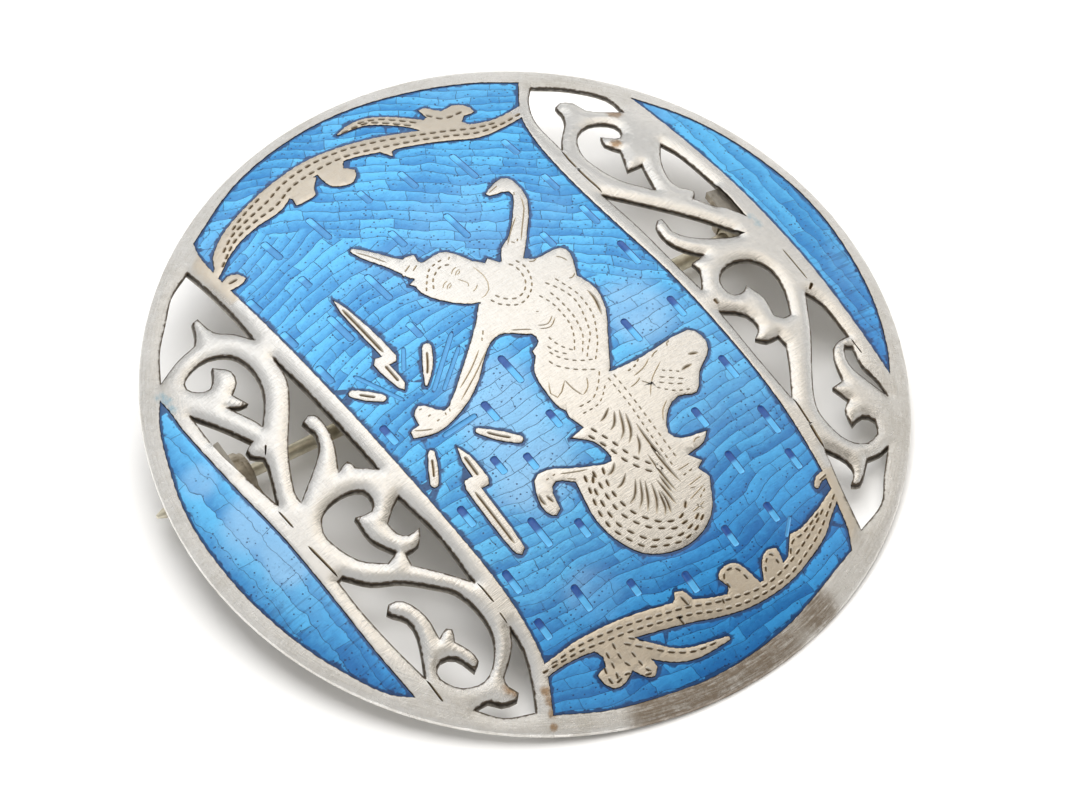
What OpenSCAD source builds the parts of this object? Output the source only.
/* [Disc] */
// Diameter of the brooch
disc_d = 44; // [42:1:46]
// Rise of the dome from the rim to the middle
dome_rise = 4.4; // [3.5:0.1:5]
// Thickness of the silver sheet
sheet_t = 0.6; // [0.6:0.05:1]
// Height of the rim's wall, which is ground level after doming
rim_edge = 0.3; // [0.25:0.05:0.4]

/* [Enamel] */
// Depth that the enamel beds are cut into the silver
bed_depth = 0.35; // [0.3:0.05:0.4]
// Gap between the enamel and the silver round it
enamel_gap = 0.03; // [0.02:0.01:0.04]
// How far the polished enamel lies below the silver
enamel_sunk = 0.04; // [0.02:0.01:0.06]

/* [Pin] */
// Thickness of the pin's wire
pin_d = 0.9; // [0.8:0.05:1]
// Turn of the pin from the line across the panel
pin_turn = 7.3; // [6:0.1:8]
// Height of the pin's middle below the edge of the dome
pin_drop = 1.6; // [1.5:0.05:1.7]
// Diameter of the rivet that the pin turns on
rivet_d = 0.8; // [0.7:0.05:0.9]
// Width of the pin's eye between the hinge ears
eye_w = 1.3; // [1.1:0.1:1.5]

/* [Catch] */
// Outer diameter of the catch
catch_d = 2.8; // [2.7:0.1:3]
// Length of the catch along the pin
catch_w = 1.6; // [1.4:0.1:1.8]
// Outer diameter of the turning barrel inside the catch
barrel_d = 2; // [1.9:0.05:2.1]
// Width of the mouth that the pin drops through
mouth_w = 0.84; // [0.8:0.02:0.9]
// Reach of the lever from the middle of the barrel
lever_reach = 2.3; // [2:0.1:2.6]

/* [Hidden] */

// The tables below were charted on a disc of this diameter
chart_d = 44;
k = disc_d / chart_d;
disc_r = disc_d / 2;
dome_r = (disc_r * disc_r + dome_rise * dome_rise) / (2 * dome_rise);
dome_z = dome_rise - dome_r;
dome_fn = 240;
round_fn = 48;
// Longest straight piece of a curved outline
facet = 0.55;
most_facets = 4;
// Height that every cut reaches above and below the disc
tall = 12;
solder = 0.2;

// The hinge and the catch stand on one line, which crosses the disc's middle line here
pin_y0 = 4 * k;
hinge_x = 17.4 * k;
catch_x = -16.6 * k;
pin_tip_x = -21.4 * k;
pin_end_x = -20.9 * k;
pin_end_r = 0.3;
taper_x = -10 * k;
root_x = 14 * k;
root_r = 0.6;
pad_t = 0.4;
ear_t = 0.5;
ear_gap = 0.05;
eye_r = 0.85;
rivet_gap = 0.04;
rivet_fit = 0.01;
rivet_head_r = 0.62;
rivet_head_t = 0.2;
barrel_gap = 0.03;
barrel_bore_r = 0.42;
flange_r = 1.25;
flange_t = 0.3;
lever_w = 0.8;
pin_point_r = 0.1;

// The brooch rests on the catch, the hinge and the low side of its rim, whose lower edge is here
rim_z = -rim_edge;
hinge_y = pin_y0 - hinge_x * sin(pin_turn);
catch_low_y = pin_y0 - (catch_x + catch_w / 2) * sin(pin_turn);
ear_low_y = hinge_y - (eye_w / 2 + ear_gap + ear_t) * cos(pin_turn);
// The slope to the lowest point of the catch, first for an upright catch and then for the tilted one
first_slope = (pin_drop + catch_d / 2 + rim_z) / (catch_low_y + disc_r);
rest_slope = (pin_drop + catch_d / 2 / cos(atan(first_slope)) + rim_z) / (catch_low_y + disc_r);
rest_tilt = atan(rest_slope);
ear_r = rest_slope * (ear_low_y + disc_r) - rim_z - pin_drop;

silver = [0.86, 0.85, 0.81];
enamel = [0.16, 0.5, 0.86];
wire = [0.6, 0.58, 0.5];

// Closed outlines, charted from above. Columns: x, y, 1 at a sharp corner
PANEL = [
    [-9.25, 18.95, 1], [-9.6, 18.1, 0], [-9.85, 16.5, 0], [-10, 14.5, 0], [-10.1, 11, 0],
    [-10.2, 6, 0], [-10.25, 0, 0], [-10.2, -5, 0], [-10.15, -9.5, 0], [-10.35, -12.5, 0],
    [-10.85, -14.9, 0], [-12.05, -17.2, 1], [-9, -18.95, 0], [-4.5, -20.4, 0], [-2, -20.75, 0],
    [0.5, -20.75, 0], [3, -20.45, 0], [8.2, -19, 1], [8.75, -18, 0], [9.15, -16.6, 0],
    [9.55, -15, 0], [10, -12, 0], [10.25, -9, 0], [10.3, -5, 0], [10.2, 0, 0], [9.9, 4, 0],
    [9.8, 7.5, 0], [9.95, 10.3, 0], [10.35, 12.6, 0], [11, 14.3, 0], [12.75, 16.55, 1],
    [10.5, 18.15, 0], [7, 19.85, 0], [3, 21.05, 0], [-1, 21.3, 0], [-5, 20.7, 0]];
LEFT_CRESCENT = [
    [-17.25, 11.75, 1], [-17.3, 10.8, 0], [-17.55, 9, 0], [-17.68, 4, 0], [-17.58, 0, 0],
    [-17.68, -8, 0], [-17.5, -11.75, 1], [-18.5, -10.7, 0], [-19.5, -8.6, 0], [-20.5, -5.5, 0],
    [-21.1, -1.5, 0], [-21, 2.6, 0], [-20.4, 5.6, 0], [-19.4, 8.2, 0], [-18.3, 10.4, 0]];
RIGHT_CRESCENT = [
    [17.45, 11.95, 1], [17.6, 10.2, 0], [18.05, 4, 0], [18.15, 0.5, 0], [18.1, -4, 0],
    [17.75, -9, 0], [17.52, -11.4, 1], [18.6, -9.9, 0], [20.1, -6.8, 0], [21.1, -3, 0],
    [21.4, 0.3, 0], [21.1, 3.3, 0], [20.3, 6.6, 0], [19.1, 9.4, 0]];

// Gaps sawn through the two bands. The same columns
LEFT_GAPS = [
    [[-16.5, 12.7, 1], [-15.3, 14.35, 0], [-13.9, 15.65, 0], [-12.4, 16.95, 0], [-10.8, 17.6, 1],
     [-10.8, 16, 0], [-10.95, 13, 0], [-11.15, 11.1, 1], [-11.7, 12.25, 0], [-12.4, 13.2, 0],
     [-12.45, 14.6, 1], [-12.8, 14.6, 1], [-13.25, 13.75, 0], [-13.7, 13.25, 1], [-15, 13.15, 0]],
    [[-15.75, 11.3, 0], [-15.4, 11.85, 0], [-14.2, 12.1, 0], [-13.2, 11.7, 0], [-12.55, 10.8, 0],
     [-12.5, 9.2, 0], [-13.1, 7.7, 0], [-14.3, 6.3, 1], [-14.4, 6.9, 0], [-14.95, 8.65, 1],
     [-14.4, 8.15, 0], [-13.98, 8.02, 1], [-14.25, 9.1, 1], [-13.6, 9.55, 0], [-13.35, 10.4, 0],
     [-13.95, 11.35, 1], [-14.35, 10.75, 0], [-14.9, 10.35, 0], [-15.45, 10.65, 0]],
    [[-16.7, 9.75, 1], [-15.85, 7.6, 0], [-15.3, 5.95, 1], [-15.85, 5.75, 0], [-15.9, 5.3, 0],
     [-15.45, 4.7, 1], [-15.6, 4.1, 0], [-16.65, 1.85, 1], [-16.9, 4.5, 0], [-17, 7, 0]],
    [[-15.6, 1.15, 1], [-15.5, 1.85, 0], [-14.2, 4.1, 0], [-12.4, 6.3, 0], [-11.5, 7.7, 0],
     [-11.15, 9.4, 1], [-11.15, 4, 0], [-11.2, -0.2, 1], [-11.7, 0.35, 0], [-12.1, 0.75, 0],
     [-12.2, 1.35, 0], [-12.95, 1.15, 1], [-12, 2.9, 0], [-11.7, 4.6, 0], [-12.05, 5.1, 0],
     [-12.55, 4.95, 0], [-12.45, 4, 0], [-13, 2.9, 0]],
    [[-15.85, -1.6, 0], [-15.6, -0.75, 0], [-15, -0.2, 0], [-14.2, -0.05, 0], [-13.3, -0.2, 0],
     [-12.65, -0.65, 0], [-12.6, -1.4, 0], [-13.05, -1.9, 0], [-13.95, -1.6, 1],
     [-14.05, -3.3, 0], [-13.45, -4.7, 1], [-14.2, -4.9, 1], [-15.3, -3.7, 0]],
    [[-11.35, -2.2, 1], [-11.9, -2.45, 0], [-12.8, -3.1, 1], [-12.75, -3.85, 0],
     [-12.35, -4.35, 0], [-11.6, -4.4, 1], [-12.2, -5.15, 0], [-13.1, -5.1, 1],
     [-13.25, -5.85, 1], [-12.1, -7.4, 0], [-11.15, -8.8, 1], [-11.05, -5.5, 0]],
    [[-16.9, -3.9, 1], [-16.55, -3.85, 1], [-15.6, -5.2, 0], [-14.2, -6.25, 0], [-13, -7.6, 0],
     [-12.3, -8.55, 0], [-11.95, -10.2, 0], [-12.15, -11.75, 0], [-12.95, -12.9, 0],
     [-14, -13.45, 0], [-15.15, -13, 0], [-15.7, -12.2, 0], [-15.8, -11.5, 0],
     [-15.2, -11.05, 0], [-14.45, -11.45, 0], [-14.05, -12.65, 1], [-13.6, -12.4, 0],
     [-13.65, -11.6, 0], [-14, -10.75, 1], [-13.7, -10.1, 0], [-13.95, -9.85, 0],
     [-14.55, -10.05, 1], [-14.4, -8.6, 0], [-14.85, -7.15, 0], [-15.6, -6.75, 0],
     [-15.9, -7.05, 0], [-15.3, -8.1, 0], [-15.4, -9.15, 0], [-16.45, -11.25, 1],
     [-16.7, -9.5, 0], [-16.85, -8, 0], [-16.95, -6, 0]],
    [[-15.35, -14.3, 1], [-14.45, -14.4, 0], [-13.95, -15, 0], [-13.1, -15.3, 0],
     [-12.85, -15.1, 0], [-13.1, -14.5, 0], [-13, -13.95, 0], [-12.3, -13.45, 0],
     [-11.6, -12.85, 0], [-11.1, -12, 1], [-11.25, -13.4, 0], [-11.9, -15.05, 0],
     [-12.7, -16.5, 1], [-14.3, -15.65, 0]]];
RIGHT_GAPS = [
    [[13.2, 15.9, 1], [12.2, 14.95, 0], [11.35, 13.3, 0], [11.1, 10.7, 1], [11.7, 11.45, 0],
     [12.75, 12.4, 0], [13.1, 13.1, 0], [13.2, 13.75, 0], [13.7, 13.9, 0], [14.35, 13.4, 0],
     [14.5, 12.6, 0], [15.2, 12, 0], [16.35, 11.3, 1], [16.3, 12.8, 0], [14.9, 14.6, 0]],
    [[11.8, 9.2, 0], [12.05, 10.3, 0], [12.8, 11.2, 0], [13.8, 11.45, 0], [14.85, 10.95, 0],
     [15.15, 10.3, 0], [14.7, 9.7, 0], [13.75, 10.35, 1], [13.5, 9.7, 0], [14, 8.85, 1],
     [13.75, 8.35, 0], [13.25, 7.35, 1], [14.3, 7.3, 1], [14, 6.5, 0], [13.65, 5.35, 1],
     [12.3, 7.1, 0]],
    [[16.45, 8.05, 1], [16.85, 6.8, 0], [17.1, 3, 0], [17, 1.1, 1], [16.3, 2.15, 0],
     [15.2, 3.7, 1], [15.65, 4.15, 0], [15.05, 4.8, 0], [14.95, 5.6, 0], [15.5, 6.9, 0]],
    [[10.7, 6.65, 1], [12.1, 5.05, 0], [14.5, 2.3, 0], [16.1, 0.15, 1], [14.8, 0.5, 0],
     [13.2, 1.4, 0], [12.4, 2.4, 0], [12.5, 3.4, 0], [11.85, 3.2, 0], [11.65, 2, 0],
     [12.1, 0.95, 0], [12.9, 0.1, 1], [11.85, -0.05, 1], [11.9, -0.7, 0], [11.15, -1.75, 1],
     [11, 0, 0], [10.9, 3.5, 0]],
    [[12.35, -2.3, 0], [12.75, -1.55, 0], [13.6, -1.15, 0], [14.6, -1.25, 0], [15.4, -1.75, 0],
     [15.8, -2.8, 0], [15.5, -4.2, 0], [14.75, -5.6, 1], [14.2, -5.6, 0], [13.8, -5.2, 1],
     [14.07, -4, 0], [13.7, -2.8, 1], [13.3, -3.05, 0], [12.6, -3, 0]],
    [[11.05, -3.5, 1], [11.5, -3.75, 0], [12.3, -4.4, 0], [12.4, -5.4, 0], [11.7, -5.95, 1],
     [12.2, -6.4, 0], [13.05, -6.45, 1], [13.1, -7.1, 1], [12.3, -8.35, 0], [11.1, -10, 1],
     [11, -7, 0]],
    [[16.6, -4.85, 1], [17, -5.8, 0], [16.95, -8.3, 1], [16.3, -8.3, 0], [15.5, -8.6, 0],
     [15, -9.4, 0], [14.65, -10.5, 1], [13.75, -10.6, 1], [14.15, -11.65, 1], [13.5, -12.05, 0],
     [13.25, -13, 1], [14.2, -12.8, 0], [14.75, -13.35, 0], [14.3, -14.1, 1], [13.4, -14.3, 0],
     [12.4, -13.65, 0], [12, -12.4, 0], [12.1, -11.1, 0], [13.3, -9.3, 0], [15, -7.2, 0]],
    [[16.3, -8.75, 0], [16.7, -8.95, 1], [16.4, -10.15, 0], [16.6, -11.3, 0], [16.55, -12.4, 1],
     [16.05, -11.1, 0], [15.75, -9.8, 0]],
    [[10.75, -13.5, 1], [11.45, -14.6, 0], [11.4, -15.4, 0], [10.75, -15.9, 1],
     [11.3, -16.1, 0], [12.7, -15.1, 1], [13.6, -15.15, 0], [14.4, -15, 1], [12.9, -16.4, 0],
     [11.7, -17.6, 0], [9.6, -18.3, 1], [10.1, -15.9, 0]]];

// The dancer, laid out limb by limb. The same columns
DANCER = [
    [[-2.35, 7.15, 0], [-1.85, 8.45, 0], [-1.5, 8.9, 0], [-0.85, 8.75, 0], [0, 8.72, 0],
     [0.6, 8.5, 0], [1.35, 7, 0], [1.5, 6, 0], [1.2, 5, 0], [0.4, 4.4, 0], [-1.05, 5.1, 0]],
    [[-2.15, 9.3, 0], [-2.4, 8.65, 1], [-1.95, 8.6, 0], [-1.4, 8.2, 0], [-1.1, 8.9, 1],
     [-0.95, 9.45, 1], [-1.5, 9.7, 0]],
    [[-2, 8.1, 1], [-2.5, 8, 1], [-2.2, 7.5, 1], [-1.6, 7.8, 0]],
    [[2.6, 6, 1], [3.2, 6.75, 0], [4.2, 7.25, 0], [6.1, 9.15, 0], [6.3, 9.8, 0], [5.2, 10.2, 0],
     [5.1, 10.45, 0], [6.6, 10.88, 0], [7.05, 10.3, 0], [6.7, 8.6, 0], [4.7, 6.35, 0],
     [3.7, 5.4, 1], [2.6, 5.2, 0]],
    [[-0.3, 4.5, 1], [-1.4, 3.45, 0], [-4, 1.5, 0], [-5.4, 0.55, 0], [-6.2, 0.22, 0],
     [-6.8, 1.1, 0], [-7.15, 1.38, 0], [-7.7, 1.05, 0], [-7.85, 0.4, 1], [-8.5, 0.35, 0],
     [-8.6, -0.05, 0], [-6.9, -0.65, 0], [-4.2, 0.1, 0], [-1.8, 1.85, 0], [-1, 2.15, 0],
     [-0.4, 2.05, 0], [0.6, 1.2, 1], [1.4, 3.2, 0]],
    [[0.3, 4.9, 1], [1, 7.3, 1], [1.45, 6.95, 0], [1.8, 6.5, 1], [2.12, 6.7, 1], [2.5, 6.05, 1],
     [3.2, 5.9, 0], [3.8, 5.45, 1], [4.3, 5.05, 0], [6, 4.85, 0], [6.2, 4.2, 0], [5.5, 2.75, 1],
     [5.82, 1.4, 0], [5.3, -0.1, 0], [4.5, -1.2, 0], [3.05, -3.2, 1], [1, -4.2, 0],
     [-0.72, -4, 0], [-0.92, -2, 0], [-0.6, -0.85, 0], [0.05, -0.15, 0], [0.1, 0.2, 1],
     [0.8, 0.5, 0], [0.8, 1.1, 0], [0, 1.8, 0], [-0.4, 4.3, 1]],
    [[-0.75, -3.9, 0], [-0.6, -5.3, 1], [-1.6, -5.4, 1], [-0.7, -6.3, 0], [-0.45, -7.2, 0],
     [-0.6, -7.8, 0], [-2.3, -7.1, 0], [-4.5, -6.02, 0], [-5.4, -7.2, 0], [-5.5, -8.1, 0],
     [-5.15, -8.58, 0], [-4.75, -8.4, 0], [-4.5, -7.4, 0], [-3.95, -6.98, 0], [-3.05, -7.65, 1],
     [-3.5, -10, 0], [-3.2, -11.8, 0], [-2.2, -13.3, 0], [0, -14.07, 0], [2.2, -13.4, 0],
     [3.6, -11.55, 1], [3.35, -10.8, 1], [3.85, -10.55, 1], [3.35, -9.85, 1], [4.6, -9.72, 0],
     [5.25, -9.25, 1], [3.7, -8.85, 0], [3.25, -8.2, 0], [4.2, -7.05, 0], [5.2, -6.7, 0],
     [6.3, -7.05, 0], [7.3, -6.1, 0], [8.7, -5.2, 0], [8.95, -4.3, 0], [8.5, -3.58, 0],
     [5, -3.6, 0], [3.1, -3.4, 1], [1.5, -3, 0]]];

// Zigzag bolts above and below the outstretched hand. The same columns
BOLTS = [
    [[-6.35, 10, 1], [-6.6, 9, 0], [-6.72, 5.2, 1], [-7.1, 5.35, 0], [-7.4, 5.05, 0],
     [-7.35, 3.6, 0], [-7.1, 2.65, 0], [-6.78, 3, 0], [-6.72, 4.5, 1], [-6.3, 4.42, 0],
     [-6.05, 4.7, 0], [-6.15, 9, 0]],
    [[-7.05, -2, 1], [-7.35, -2.8, 0], [-7.5, -3.95, 1], [-8, -3.85, 0], [-8.25, -4.3, 0],
     [-8.38, -8.7, 0], [-8.1, -9.22, 0], [-7.75, -9, 0], [-7.52, -4.8, 1], [-7.05, -4.88, 0],
     [-6.85, -4.6, 0], [-6.8, -3, 0]]];

// Tapered strokes along a middle line. Columns: x, y, width
RAYS = [
    [[-9.45, 4.4, 0.45], [-8.9, 3.7, 0.62], [-8.35, 3.05, 0.45]],
    [[-4.4, 4.05, 0.55], [-5.1, 3.1, 0.6], [-5.95, 2.15, 0.2]],
    [[-8.4, -1.4, 0.4], [-8.9, -2.2, 0.56], [-9.4, -2.95, 0.5]],
    [[-5.5, -1.95, 0.36], [-4.8, -2.85, 0.6], [-4, -3.75, 0.5]]];
CROWN_SPIRE = [[-3.35, 12, 0.32], [-3.05, 11.35, 0.6], [-2.25, 9.8, 0.8], [-1.6, 8.6, 1.3]];
TOP_STRIPE = [
    [-10.3, 15.9, 0.4], [-9.5, 16.35, 0.5], [-8.9, 16.95, 0.9], [-7.5, 17.65, 1.25],
    [-6, 18, 1.55], [-4.5, 18.15, 1.9], [-3, 18.55, 1.45], [-1, 18.6, 1.35], [1, 18.25, 1.15],
    [3, 17.4, 1.25], [5, 16.4, 1.15], [6.5, 15.6, 1.2], [8, 14.75, 1.2], [9.5, 14.42, 0.85],
    [11.6, 14.5, 0.8]];
BOTTOM_STRIPE = [
    [-11.6, -15.05, 0.7], [-10.2, -15.08, 0.65], [-8.8, -15.2, 0.85], [-7.2, -15.55, 1.1],
    [-5.6, -15.95, 1.2], [-2.4, -17, 1.25], [-0.8, -17.7, 1.1], [0.8, -18.15, 1.05],
    [2.4, -18.35, 0.9], [4, -18.2, 0.95], [5.5, -17.75, 1.05], [7, -17.15, 1.1],
    [8.3, -16.45, 0.8], [9.8, -15.7, 0.5]];
LONG_LEAVES = [
    [[1.8, 19.68, 0.12], [2.6, 19.68, 0.45], [3.5, 19.5, 0.6], [4.4, 18.85, 0.7],
     [5.6, 17.5, 0.8], [6.3, 16.2, 1.2]],
    [[-6.6, -16.2, 0.9], [-6, -16.95, 0.85], [-5.3, -17.75, 0.85], [-4.4, -18.55, 0.75],
     [-3.3, -19.05, 0.65], [-1.3, -19.4, 0.25]],
    [[10, -14.72, 0.45], [9.2, -14.75, 0.42], [8.75, -15.05, 0.3]]];

// Curls and leaves that grow from the stripes, and a nub on the left border.
// Columns as in the closed outlines
CURLS = [
    [[-3.55, 17.95, 1], [-3.35, 17.4, 0], [-3.5, 16.9, 0], [-2.9, 16.75, 0], [-2.2, 16.75, 0],
     [-1.95, 17.2, 0], [-1.3, 17.8, 1], [-2, 18.5, 0], [-3, 18.5, 0]],
    [[-1.15, 17.9, 1], [-1.2, 17.2, 0], [-1.1, 16.6, 0], [-0.6, 16.2, 0], [0, 16.05, 0],
     [0.68, 16.75, 0], [0.28, 17.3, 0], [0.8, 17.85, 1], [0.3, 18.4, 0], [-0.8, 18.5, 0]],
    [[2.5, 17.3, 1], [2.65, 16.8, 0], [2.95, 16.15, 1], [3.2, 16.5, 0], [3.9, 16.4, 1],
     [3.3, 17.2, 0]],
    [[6, 17.3, 1], [6.5, 17.4, 0], [6.55, 18.2, 0], [7, 18.1, 0], [7.5, 17.3, 0],
     [8.3, 17.3, 0], [8.9, 16.8, 0], [8.95, 16.05, 0], [8.3, 16.15, 0], [7.85, 15.85, 0],
     [8.2, 15.2, 1], [7.2, 15.3, 0], [6.2, 16, 0]],
    [[-10.3, 15.3, 1], [-9.5, 15.6, 0], [-8.95, 15.2, 0], [-8.85, 14.7, 0], [-9.2, 14.55, 0],
     [-10.3, 14.7, 1]],
    [[-3.1, -16.3, 1], [-2.6, -16.1, 0], [-2.35, -15.75, 0], [-1.9, -15.95, 0],
     [-1.6, -17.1, 1], [-2.4, -17.2, 0]],
    [[0.1, -17.5, 1], [0.5, -17.1, 0], [0.28, -16.5, 0], [0.75, -16.15, 0], [1.4, -16.15, 0],
     [1.85, -16.5, 0], [2.25, -17.95, 1], [1.2, -18.2, 0]],
    [[2.45, -17.95, 1], [3.1, -16.95, 0], [3.8, -16.62, 0], [4.3, -16.8, 0], [4.05, -17.8, 1],
     [3.2, -18.1, 0]],
    [[4.4, -17.75, 1], [4.95, -17.15, 0], [5.5, -16.55, 1], [6.3, -16.6, 0], [8.3, -16.05, 1],
     [7, -17.2, 0], [5.5, -17.8, 0]],
    [[-8.2, -15.7, 1], [-7.9, -16.35, 0], [-8.1, -16.85, 0], [-8.75, -16.95, 0],
     [-8.45, -18, 0], [-7.7, -18.15, 0], [-6.95, -17.85, 1], [-6.6, -18.45, 0],
     [-6.1, -18.8, 0], [-5.68, -18.5, 0], [-5.7, -17.95, 1], [-5.9, -16.9, 0],
     [-6.3, -16.1, 1], [-7.2, -15.5, 0]]];

// Curve through charted points
function unit(v) = v / max(norm(v), 0.000001);
function xy(row) = [row[0], row[1]];
function sharp(row) = row[2] == 1;
function steps(span) = min(most_facets, ceil(norm(span) / facet));
function blend(a, b, ta, tb, t) =
    (2 * t * t * t - 3 * t * t + 1) * a + (t * t * t - 2 * t * t + t) * ta
    + (3 * t * t - 2 * t * t * t) * b + (t * t * t - t * t) * tb;
// Points of one span of a closed outline, from row i to the next
function span_points(rows, i) =
    let (n = len(rows))
    let (a = xy(rows[i]), b = xy(rows[(i + 1) % n]), span = b - a)
    let (before = unit(b - xy(rows[(i + n - 1) % n])), after = unit(xy(rows[(i + 2) % n]) - a))
    let (ta = sharp(rows[i]) ? span : before * norm(span))
    let (tb = sharp(rows[(i + 1) % n]) ? span : after * norm(span))
    [for (s = [0 : steps(span) - 1]) blend(a, b, ta, tb, s / steps(span))];
function closed(rows) =
    k * [for (i = [0 : len(rows) - 1]) for (p = span_points(rows, i)) p];
// Middle line of a stroke, with the width as the third value
function stroke_span(rows, i) =
    let (last = len(rows) - 1, a = rows[i], b = rows[i + 1], span = b - a)
    let (ta = i == 0 ? span : unit(b - rows[i - 1]) * norm(span))
    let (tb = i + 1 == last ? span : unit(rows[i + 2] - a) * norm(span))
    [for (s = [0 : steps(span) - 1]) blend(a, b, ta, tb, s / steps(span))];
function middle(rows) =
    concat([for (i = [0 : len(rows) - 2]) each stroke_span(rows, i)], [rows[len(rows) - 1]]);
function heading(line, i) =
    unit(xy(line[min(i + 1, len(line) - 1)]) - xy(line[max(i - 1, 0)]));
function side(line, i, way) =
    let (d = heading(line, i))
    xy(line[i]) + way * line[i][2] / 2 * [-d[1], d[0]];
// Half round end of a stroke, past point i in the direction way
function round_end(line, i, way) =
    let (d = way * heading(line, i), n = [-d[1], d[0]])
    [for (a = [45, 90, 135]) xy(line[i]) + line[i][2] / 2 * (n * cos(a) + d * sin(a))];
function stroke_outline(rows) =
    let (line = middle(rows), last = len(line) - 1)
    k * concat([for (i = [0 : last]) side(line, i, 1)], round_end(line, last, 1),
               [for (i = [last : -1 : 0]) side(line, i, -1)], round_end(line, 0, -1));

module outlines(tables) {
    for (rows = tables)
        polygon(closed(rows));
}

module strokes(tables) {
    for (rows = tables)
        polygon(stroke_outline(rows));
}

// All the silver that stands in the middle panel
module panel_silver() {
    outlines(DANCER);
    outlines(BOLTS);
    outlines(CURLS);
    strokes(RAYS);
    strokes([CROWN_SPIRE, TOP_STRIPE, BOTTOM_STRIPE]);
    strokes(LONG_LEAVES);
}

// Everything to one side of a stripe's middle line, way = 1 above and -1 below
module beyond(stripe, way) {
    line = [for (p = middle(stripe)) k * xy(p)];
    first = line[0];
    last = line[len(line) - 1];
    edge = 2 * disc_d;
    polygon(concat([[-edge, first[1]]], line, [[edge, last[1]], [edge, way * edge],
                                               [-edge, way * edge]]));
}

module panel_field() {
    difference() {
        polygon(closed(PANEL));
        panel_silver();
    }
}

module top_field() {
    intersection() {
        panel_field();
        beyond(TOP_STRIPE, 1);
    }
}

module bottom_field() {
    intersection() {
        panel_field();
        beyond(BOTTOM_STRIPE, -1);
    }
}

module centre_field() {
    difference() {
        panel_field();
        beyond(TOP_STRIPE, 1);
        beyond(BOTTOM_STRIPE, -1);
    }
}

// A ball whose top is the dome, less the given depth
module dome(depth) {
    translate([0, 0, dome_z])
        rotate([90, 0, 0])
            sphere(r = dome_r - depth, $fn = dome_fn);
}

// Cuts a flat field straight up through the disc, drawn in by the given gap
module field_cut(gap) {
    translate([0, 0, -tall])
        linear_extrude(height = 2 * tall)
            offset(delta = -gap)
                children();
}

module enamel_piece() {
    color(enamel)
        at_rest()
            intersection() {
                difference() {
                    dome(enamel_sunk);
                    dome(bed_depth - enamel_gap);
                }
                field_cut(enamel_gap)
                    children();
            }
}

// Frame of the pin: x runs along the pin towards the hinge, z up, 0 at the pin's middle
module on_pin_line() {
    translate([0, pin_y0, -pin_drop])
        rotate([0, 0, -pin_turn])
            children();
}

// The brooch as it lies: tilted on its three feet, with the lowest point at 0
module at_rest() {
    lift = disc_r * sin(rest_tilt) - rim_z * cos(rest_tilt);
    shift = rim_z * sin(rest_tilt) / 2;
    translate([0, shift, lift])
        rotate([rest_tilt, 0, 0])
            children();
}

// Cylinder across the pin
module across(r, w) {
    rotate([90, 0, 0])
        cylinder(r = r, h = w, center = true, $fn = round_fn);
}

// Cylinder along the pin, centred on x
module along(x, r, w) {
    translate([x, 0, 0])
        rotate([0, 90, 0])
            cylinder(r = r, h = w, center = true, $fn = round_fn);
}

// Pad soldered under the dome, from x0 to x1 along the pin
module solder_pad(x0, x1, half_w) {
    difference() {
        intersection() {
            dome(sheet_t - solder);
            on_pin_line()
                translate([x0, -half_w, -tall])
                    cube([x1 - x0, 2 * half_w, 2 * tall]);
        }
        dome(sheet_t + pad_t);
    }
}

// One ear of the hinge: round below, square up to the pad
module ear(way) {
    y = way * (eye_w / 2 + ear_gap + ear_t / 2);
    translate([hinge_x, y, 0]) {
        across(ear_r, ear_t);
        translate([-ear_r, -ear_t / 2, 0])
            cube([2 * ear_r, ear_t, tall]);
    }
}

module hinge_bracket() {
    pad_back = 1.2;
    pad_front = 2.3;
    pad_half = 1.9;
    solder_pad(hinge_x - pad_back, hinge_x + pad_front, pad_half);
    intersection() {
        dome(sheet_t);
        on_pin_line()
            difference() {
                union() {
                    ear(1);
                    ear(-1);
                }
                translate([hinge_x, 0, 0])
                    across(rivet_d / 2 + rivet_fit, 2 * eye_w + 4 * ear_t);
            }
    }
}

module catch_housing() {
    pad_reach = 2.4;
    pad_half = 1.3;
    neck_w = 1.4;
    neck_t = 0.6;
    bore_r = barrel_d / 2 + barrel_gap;
    solder_pad(catch_x - pad_reach, catch_x - catch_w / 2 + neck_t, pad_half);
    intersection() {
        dome(sheet_t);
        on_pin_line()
            difference() {
                union() {
                    along(catch_x, catch_d / 2, catch_w);
                    translate([catch_x - catch_w / 2, -neck_w / 2, 0])
                        cube([neck_t, neck_w, tall]);
                }
                along(catch_x, bore_r, 2 * catch_w);
                translate([catch_x - catch_w, -bore_r * 0.62, -tall])
                    cube([2 * catch_w, bore_r * 1.24, tall]);
            }
    }
}

module silver_plate() {
    color(silver)
        at_rest() {
            difference() {
                intersection() {
                    dome(0);
                    translate([0, 0, -rim_edge])
                        cylinder(r = disc_r, h = tall, $fn = dome_fn);
                }
                dome(sheet_t);
                for (gap = concat(LEFT_GAPS, RIGHT_GAPS))
                    translate([0, 0, -tall])
                        linear_extrude(height = 2 * tall)
                            polygon(closed(gap));
                beds();
            }
            hinge_bracket();
            catch_housing();
        }
}

// Shallow beds that the enamel lies in
module beds() {
    difference() {
        union() {
            field_cut(0.001)
                panel_field();
            field_cut(0.001)
                polygon(closed(LEFT_CRESCENT));
            field_cut(0.001)
                polygon(closed(RIGHT_CRESCENT));
        }
        dome(bed_depth);
    }
}

module enamel_centre() {
    enamel_piece()
        centre_field();
}

module enamel_top() {
    enamel_piece()
        top_field();
}

module enamel_bottom() {
    enamel_piece()
        bottom_field();
}

module enamel_left() {
    enamel_piece()
        polygon(closed(LEFT_CRESCENT));
}

module enamel_right() {
    enamel_piece()
        polygon(closed(RIGHT_CRESCENT));
}

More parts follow.
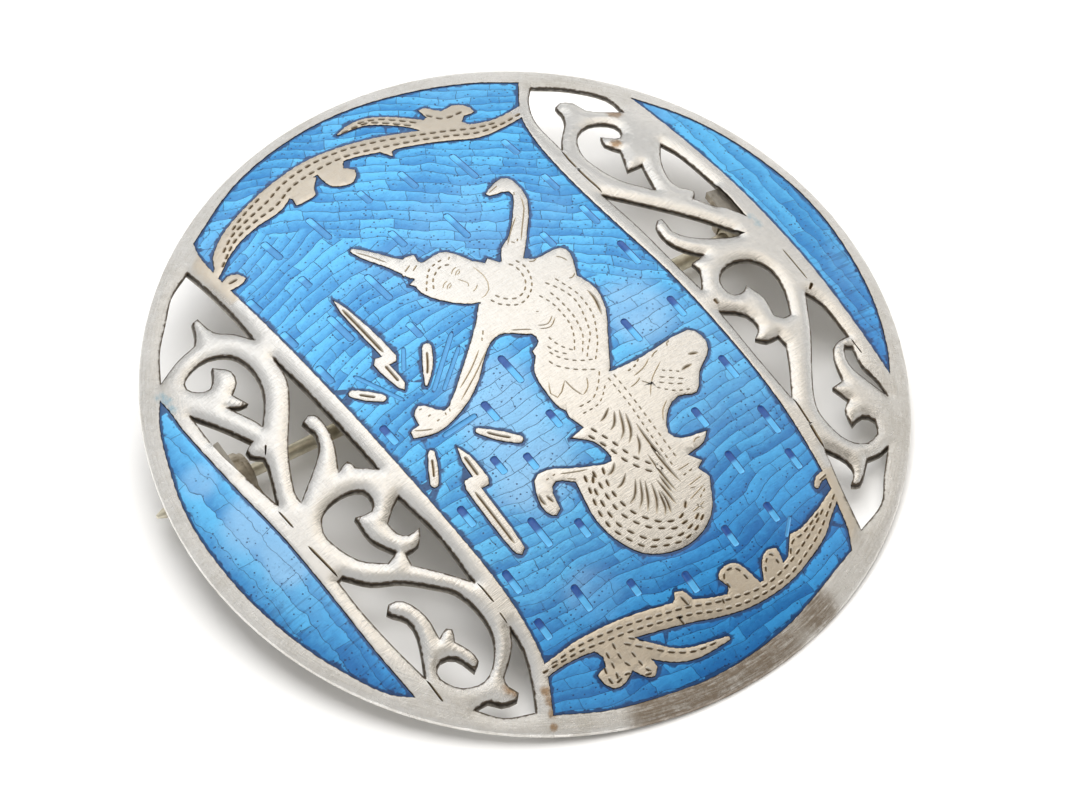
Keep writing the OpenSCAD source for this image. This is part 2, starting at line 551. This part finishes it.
// Rivet through the ears, with a flat head at each end
module hinge_rivet() {
    ears_w = eye_w + 2 * ear_gap + 2 * ear_t;
    head_gap = 0.02;
    color(silver)
        at_rest()
            on_pin_line()
                translate([hinge_x, 0, 0]) {
                    across(rivet_d / 2, ears_w + 2 * head_gap + rivet_head_t);
                    for (way = [-1, 1])
                        translate([0, way * (ears_w / 2 + head_gap + rivet_head_t / 2), 0])
                            across(rivet_head_r, rivet_head_t);
                }
}

// Straight wire that tapers to a point, and thickens towards a flat eye round the rivet
module pin_stem() {
    color(wire)
        at_rest()
            on_pin_line()
                difference() {
                    union() {
                        translate([hinge_x, 0, 0])
                            across(eye_r, eye_w);
                        translate([taper_x, 0, 0])
                            rotate([0, 90, 0])
                                cylinder(d = pin_d, h = hinge_x - taper_x, $fn = round_fn);
                        translate([pin_end_x, 0, 0])
                            rotate([0, 90, 0])
                                cylinder(r1 = pin_end_r, r2 = pin_d / 2,
                                         h = taper_x - pin_end_x, $fn = round_fn);
                        translate([pin_tip_x, 0, 0])
                            rotate([0, 90, 0])
                                cylinder(r1 = pin_point_r, r2 = pin_end_r,
                                         h = pin_end_x - pin_tip_x, $fn = round_fn);
                        translate([root_x, 0, 0])
                            rotate([0, 90, 0])
                                cylinder(r1 = pin_d / 2, r2 = root_r,
                                         h = hinge_x - eye_r / 2 - root_x, $fn = round_fn);
                    }
                    translate([hinge_x, 0, 0])
                        across(rivet_d / 2 + rivet_gap, 2 * eye_w);
                }
}

// Barrel that turns in the catch and closes its mouth, with a flange and a lever at its end
module catch_lever() {
    end_gap = 0.05;
    barrel_w = catch_w + 2 * end_gap;
    outer_x = catch_x - barrel_w / 2 - flange_t / 2;
    inner_x = catch_x + barrel_w / 2 + flange_t / 2;
    color(silver)
        at_rest()
            on_pin_line()
                difference() {
                    union() {
                        along(catch_x, barrel_d / 2, barrel_w);
                        along(outer_x, flange_r, flange_t);
                        along(inner_x, flange_r, flange_t);
                        translate([inner_x - flange_t / 2, -lever_reach, -lever_w / 2])
                            cube([flange_t, lever_reach, lever_w]);
                    }
                    along(catch_x, barrel_bore_r, 3 * catch_w);
                    translate([catch_x - 2 * catch_w, -mouth_w / 2, -tall])
                        cube([4 * catch_w, mouth_w, tall]);
                }
}

silver_plate();
enamel_centre();
enamel_top();
enamel_bottom();
enamel_left();
enamel_right();
hinge_rivet();
pin_stem();
catch_lever();
